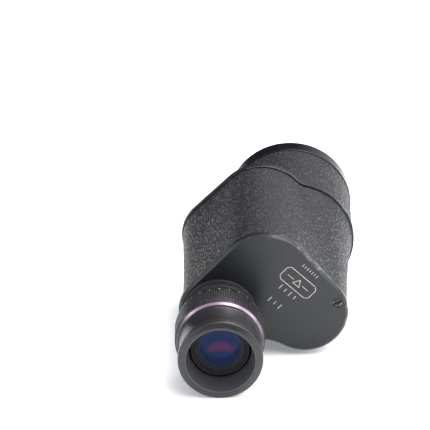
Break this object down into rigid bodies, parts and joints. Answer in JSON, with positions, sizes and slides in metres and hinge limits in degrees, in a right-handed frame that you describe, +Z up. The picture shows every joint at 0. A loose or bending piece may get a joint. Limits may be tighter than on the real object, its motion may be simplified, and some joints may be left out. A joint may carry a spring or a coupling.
{
  "type": "porro prism monocular",
  "caption": "Black Porro prism monocular in pebbled leatherette, with a knurled focusing eyepiece, flared eyecup and offset objective barrel.",
  "frame": {"origin": "middle of the bounding box in plan, on the table that the monocular lies on", "axes": "+Y from the eyepiece to the objective (the optical axes rise 4.84 degrees towards +Y), +X from the eyepiece axis to the objective axis, +Z up"},
  "size_m": [0.0868, 0.175, 0.0694],
  "materials": {
    "housing_metal": "cast light alloy, black lacquer",
    "leatherette": "black pebbled leatherette with a low sheen",
    "cover_paint": "satin black enamel, worn bright along the bevel",
    "screw_steel": "blackened steel, worn at the slot",
    "barrel_metal": "gloss black lacquer",
    "inner_black": "matte black anodised",
    "end_ring_lacquer": "gloss black lacquer",
    "brass_ring": "turned brass",
    "coated_glass": "polished, blue anti-reflection coating",
    "eye_glass": "polished, blue-violet anti-reflection coating",
    "mount_lacquer": "gloss black lacquer, bright at the edges",
    "shelf_aluminium": "machined",
    "prism_glass": "polished faces",
    "strap_steel": "spring steel",
    "retainer_black": "turned, matte black anodised",
    "focus_ring_lacquer": "gloss black lacquer over a fine straight knurl",
    "eyecup_plastic": "hard black plastic, satin"
  },
  "bodies": {
    "housing": {"prism_housing": "housing_metal", "housing_leatherette": "leatherette", "eyepiece_cover": "cover_paint", "objective_cover": "cover_paint", "cover_screw": "screw_steel", "objective_barrel": "barrel_metal", "barrel_leatherette": "leatherette", "barrel_baffle": "inner_black", "objective_end_ring": "end_ring_lacquer", "objective_cell": "inner_black", "eccentric_ring": "brass_ring", "objective_crown_lens": "coated_glass", "objective_flint_lens": "coated_glass", "objective_retaining_ring": "inner_black", "eyepiece_mount": "mount_lacquer", "mount_nut": "brass_ring", "guide_pin": "screw_steel", "prism_shelf": "shelf_aluminium", "front_prism": "prism_glass", "rear_prism": "prism_glass", "front_strap": "strap_steel", "rear_strap": "strap_steel", "ocular_baffle": "inner_black", "rear_cover_screw_1": "screw_steel", "shelf_screw_1": "screw_steel", "rear_cover_screw_2": "screw_steel", "shelf_screw_2": "screw_steel", "rear_cover_screw_3": "screw_steel", "shelf_screw_3": "screw_steel", "strap_screw_1": "screw_steel", "strap_screw_2": "screw_steel", "strap_screw_3": "screw_steel", "strap_screw_4": "screw_steel"},
    "lens_carriage": {"ocular_tube": "inner_black", "snap_ring": "strap_steel", "field_stop": "inner_black", "field_lens": "coated_glass", "lens_spacer": "inner_black", "eye_flint_lens": "coated_glass", "eye_crown_lens": "eye_glass", "eye_lens_retainer": "retainer_black"},
    "focusing_ring": {"focus_ring": "focus_ring_lacquer", "eyecup": "eyecup_plastic"}
  },
  "joints": [
    {"name": "ocular_slide", "type": "slide", "parent": "housing", "child": "lens_carriage", "axis": [0, 0.9964, 0.0843], "range_m": [-0.0036, 0.0036]},
    {"name": "focus_turn", "type": "hinge", "parent": "lens_carriage", "child": "focusing_ring", "pos_m": [-0.0226, -0.06624, 0.02108], "axis": [0, 0.9964, 0.0843], "range_deg": [-150, 150]}
  ],
  "couplings": [
    {"joint": "ocular_slide", "follows": "focus_turn", "m_per_rad": 0.0013687}
  ]
}
